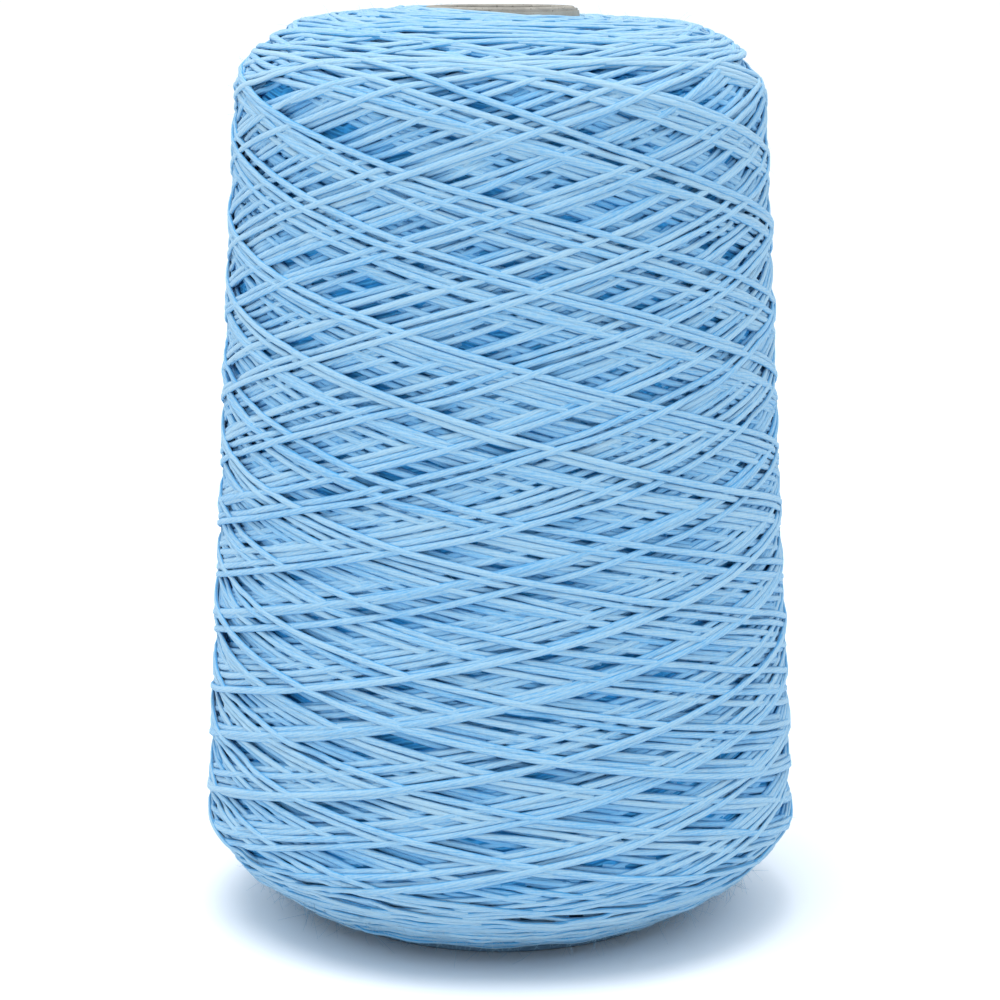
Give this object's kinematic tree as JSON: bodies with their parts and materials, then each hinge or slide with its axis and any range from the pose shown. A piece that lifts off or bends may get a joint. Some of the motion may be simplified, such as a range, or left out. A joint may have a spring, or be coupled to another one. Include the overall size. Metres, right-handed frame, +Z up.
{
  "type": "yarn cone",
  "caption": "Cross-wound yarn package on a tapered paper cone, standing on its base rim, with rounded ends and an open nose.",
  "frame": {"origin": "centre of the paper cone's base rim, on the surface that it stands on", "axes": "+Z up along the cone's axis, from the base rim to the nose; the package is round, so +X and +Y are free"},
  "size_m": [0.1112, 0.1112, 0.17],
  "materials": {
    "facing_paper": "matte",
    "grey_board": "matte",
    "liner_paper": "matte",
    "yarn": "matte"
  },
  "bodies": {
    "root": {"cone_facing_ply": "facing_paper", "cone_outer_board": "grey_board", "cone_inner_board": "grey_board", "cone_liner_ply": "liner_paper", "yarn_first_lay": "yarn", "yarn_middle_lay": "yarn", "yarn_outer_lay": "yarn", "yarn_reserve_turns": "yarn"}
  },
  "joints": []
}
